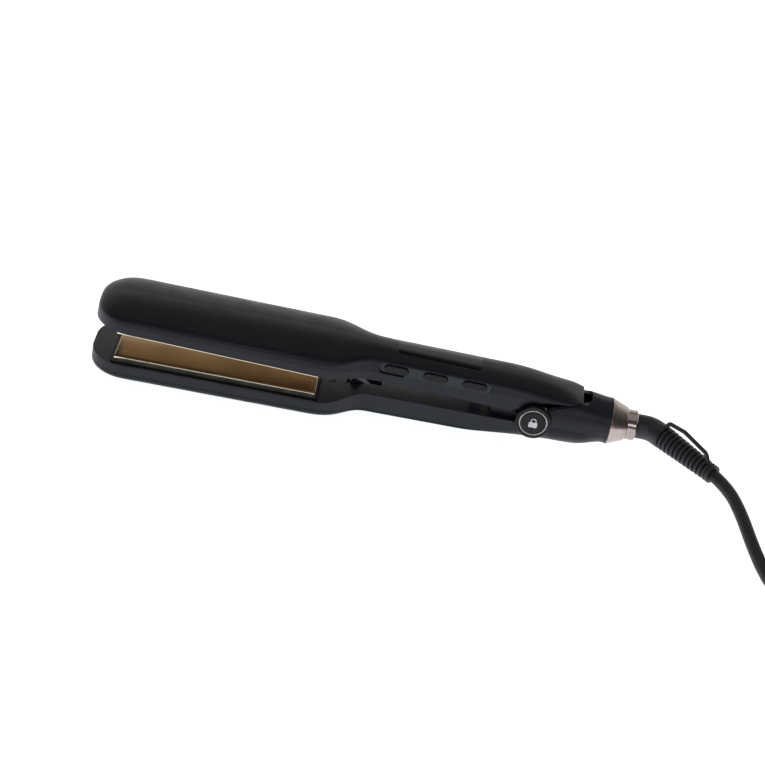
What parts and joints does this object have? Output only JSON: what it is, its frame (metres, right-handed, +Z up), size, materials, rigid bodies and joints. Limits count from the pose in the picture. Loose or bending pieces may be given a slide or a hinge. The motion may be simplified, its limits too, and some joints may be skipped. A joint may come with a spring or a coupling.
{
  "type": "flat iron",
  "caption": "Wide-plate hair straightener: two hinged sprung arms with floating gold plates, lock button, keys, display, swivel cord with strain relief, coiled cord and plug.",
  "frame": {"origin": "bottom centre of the iron's own box, without the cord, on the surface it lies on", "axes": "+X along the iron from nose to cord collar, -Y the side with the buttons and the lock, +Z up"},
  "size_m": [0.4717, 0.1628, 0.0446],
  "materials": {
    "shell_black": "satin soft-touch",
    "frame_black": "fine satin",
    "tray_black": "matt heat-proof",
    "plate_gold": "polished gold coating",
    "gloss_black": "piano gloss",
    "trim_grey": "gloss",
    "rose_metal": "polished rose gunmetal",
    "bright_ring": "polished",
    "steel": "brushed",
    "screw_black": "black oxide",
    "cord_rubber": "matt",
    "boot_rubber": "satin",
    "pin_brass": "bright",
    "board_green": "solder mask",
    "ceramic_white": "sintered",
    "silicone": "matt silicone",
    "wire_red": "matt"
  },
  "bodies": {
    "lower_arm": {"lower_shell": "shell_black", "lower_frame": "frame_black", "lower_cover_screws": "screw_black", "lower_rim_screws": "screw_black", "hinge_block": "frame_black", "screw_bosses": "frame_black", "guide_wedge": "trim_grey", "lower_wires": "wire_red", "lower_float_pads": "silicone", "hinge_pin": "steel", "hinge_cap": "trim_grey", "lock_bezel": "gloss_black", "lock_ring": "bright_ring", "opening_spring": "steel", "collar_front_ring": "rose_metal", "collar_rear_ring": "rose_metal"},
    "upper_arm": {"upper_shell": "shell_black", "upper_frame": "frame_black", "display_window": "gloss_black", "display_module": "trim_grey", "button_trim": "trim_grey", "button_switches": "frame_black", "control_board": "board_green", "upper_wires": "wire_red", "upper_screws": "screw_black", "upper_float_pads": "silicone"},
    "lower_float": {"lower_plate": "plate_gold", "lower_plate_tray": "tray_black", "lower_heater": "ceramic_white", "lower_heater_clamp": "steel", "lower_temperature_sensor": "steel"},
    "upper_float": {"upper_plate": "plate_gold", "upper_plate_tray": "tray_black", "upper_heater": "ceramic_white", "upper_heater_clamp": "steel", "upper_temperature_sensor": "steel"},
    "power_key": {"power_button": "gloss_black"},
    "minus_key": {"minus_button": "gloss_black"},
    "plus_key": {"plus_button": "gloss_black"},
    "lock": {"lock_button": "gloss_black", "lock_plunger": "steel"},
    "swivel": {"swivel_core": "steel", "swivel_sleeve": "boot_rubber", "strain_relief": "boot_rubber", "hang_loop": "boot_rubber", "cord": "cord_rubber", "cord_coil": "cord_rubber", "cord_end": "cord_rubber", "plug_body": "boot_rubber", "plug_pins": "pin_brass"}
  },
  "joints": [
    {"name": "arm_hinge", "type": "hinge", "parent": "lower_arm", "child": "upper_arm", "pos_m": [0.09325, 0, 0.018], "axis": [0, -1, 0], "range_deg": [0, 3.1], "stiffness_Nm_per_rad": 4, "springref_deg": -8.59, "deforming": ["opening_spring"]},
    {"name": "lower_plate_float", "type": "slide", "parent": "lower_arm", "child": "lower_float", "axis": [0, 0, -1], "range_m": [0, 0.0012], "stiffness_N_per_m": 3000, "springref_m": -0.001, "deforming": ["lower_float_pads"]},
    {"name": "upper_plate_float", "type": "slide", "parent": "upper_arm", "child": "upper_float", "axis": [0.0349, 0, 0.9994], "range_m": [0, 0.0012], "stiffness_N_per_m": 3000, "springref_m": -0.001, "deforming": ["upper_float_pads"]},
    {"name": "power_press", "type": "slide", "parent": "upper_arm", "child": "power_key", "axis": [0, 1, 0], "range_m": [0, 0.0006], "stiffness_N_per_m": 800, "springref_m": -0.0005},
    {"name": "minus_press", "type": "slide", "parent": "upper_arm", "child": "minus_key", "axis": [0, 1, 0], "range_m": [0, 0.0006], "stiffness_N_per_m": 800, "springref_m": -0.0005},
    {"name": "plus_press", "type": "slide", "parent": "upper_arm", "child": "plus_key", "axis": [0, 1, 0], "range_m": [0, 0.0006], "stiffness_N_per_m": 800, "springref_m": -0.0005},
    {"name": "lock_press", "type": "slide", "parent": "lower_arm", "child": "lock", "axis": [0, 1, 0], "range_m": [0, 0.0012], "stiffness_N_per_m": 1500, "springref_m": -0.0005},
    {"name": "cord_swivel", "type": "hinge", "parent": "lower_arm", "child": "swivel", "pos_m": [0.1497, 0, 0.0195], "axis": [1, 0, 0], "continuous": true}
  ]
}
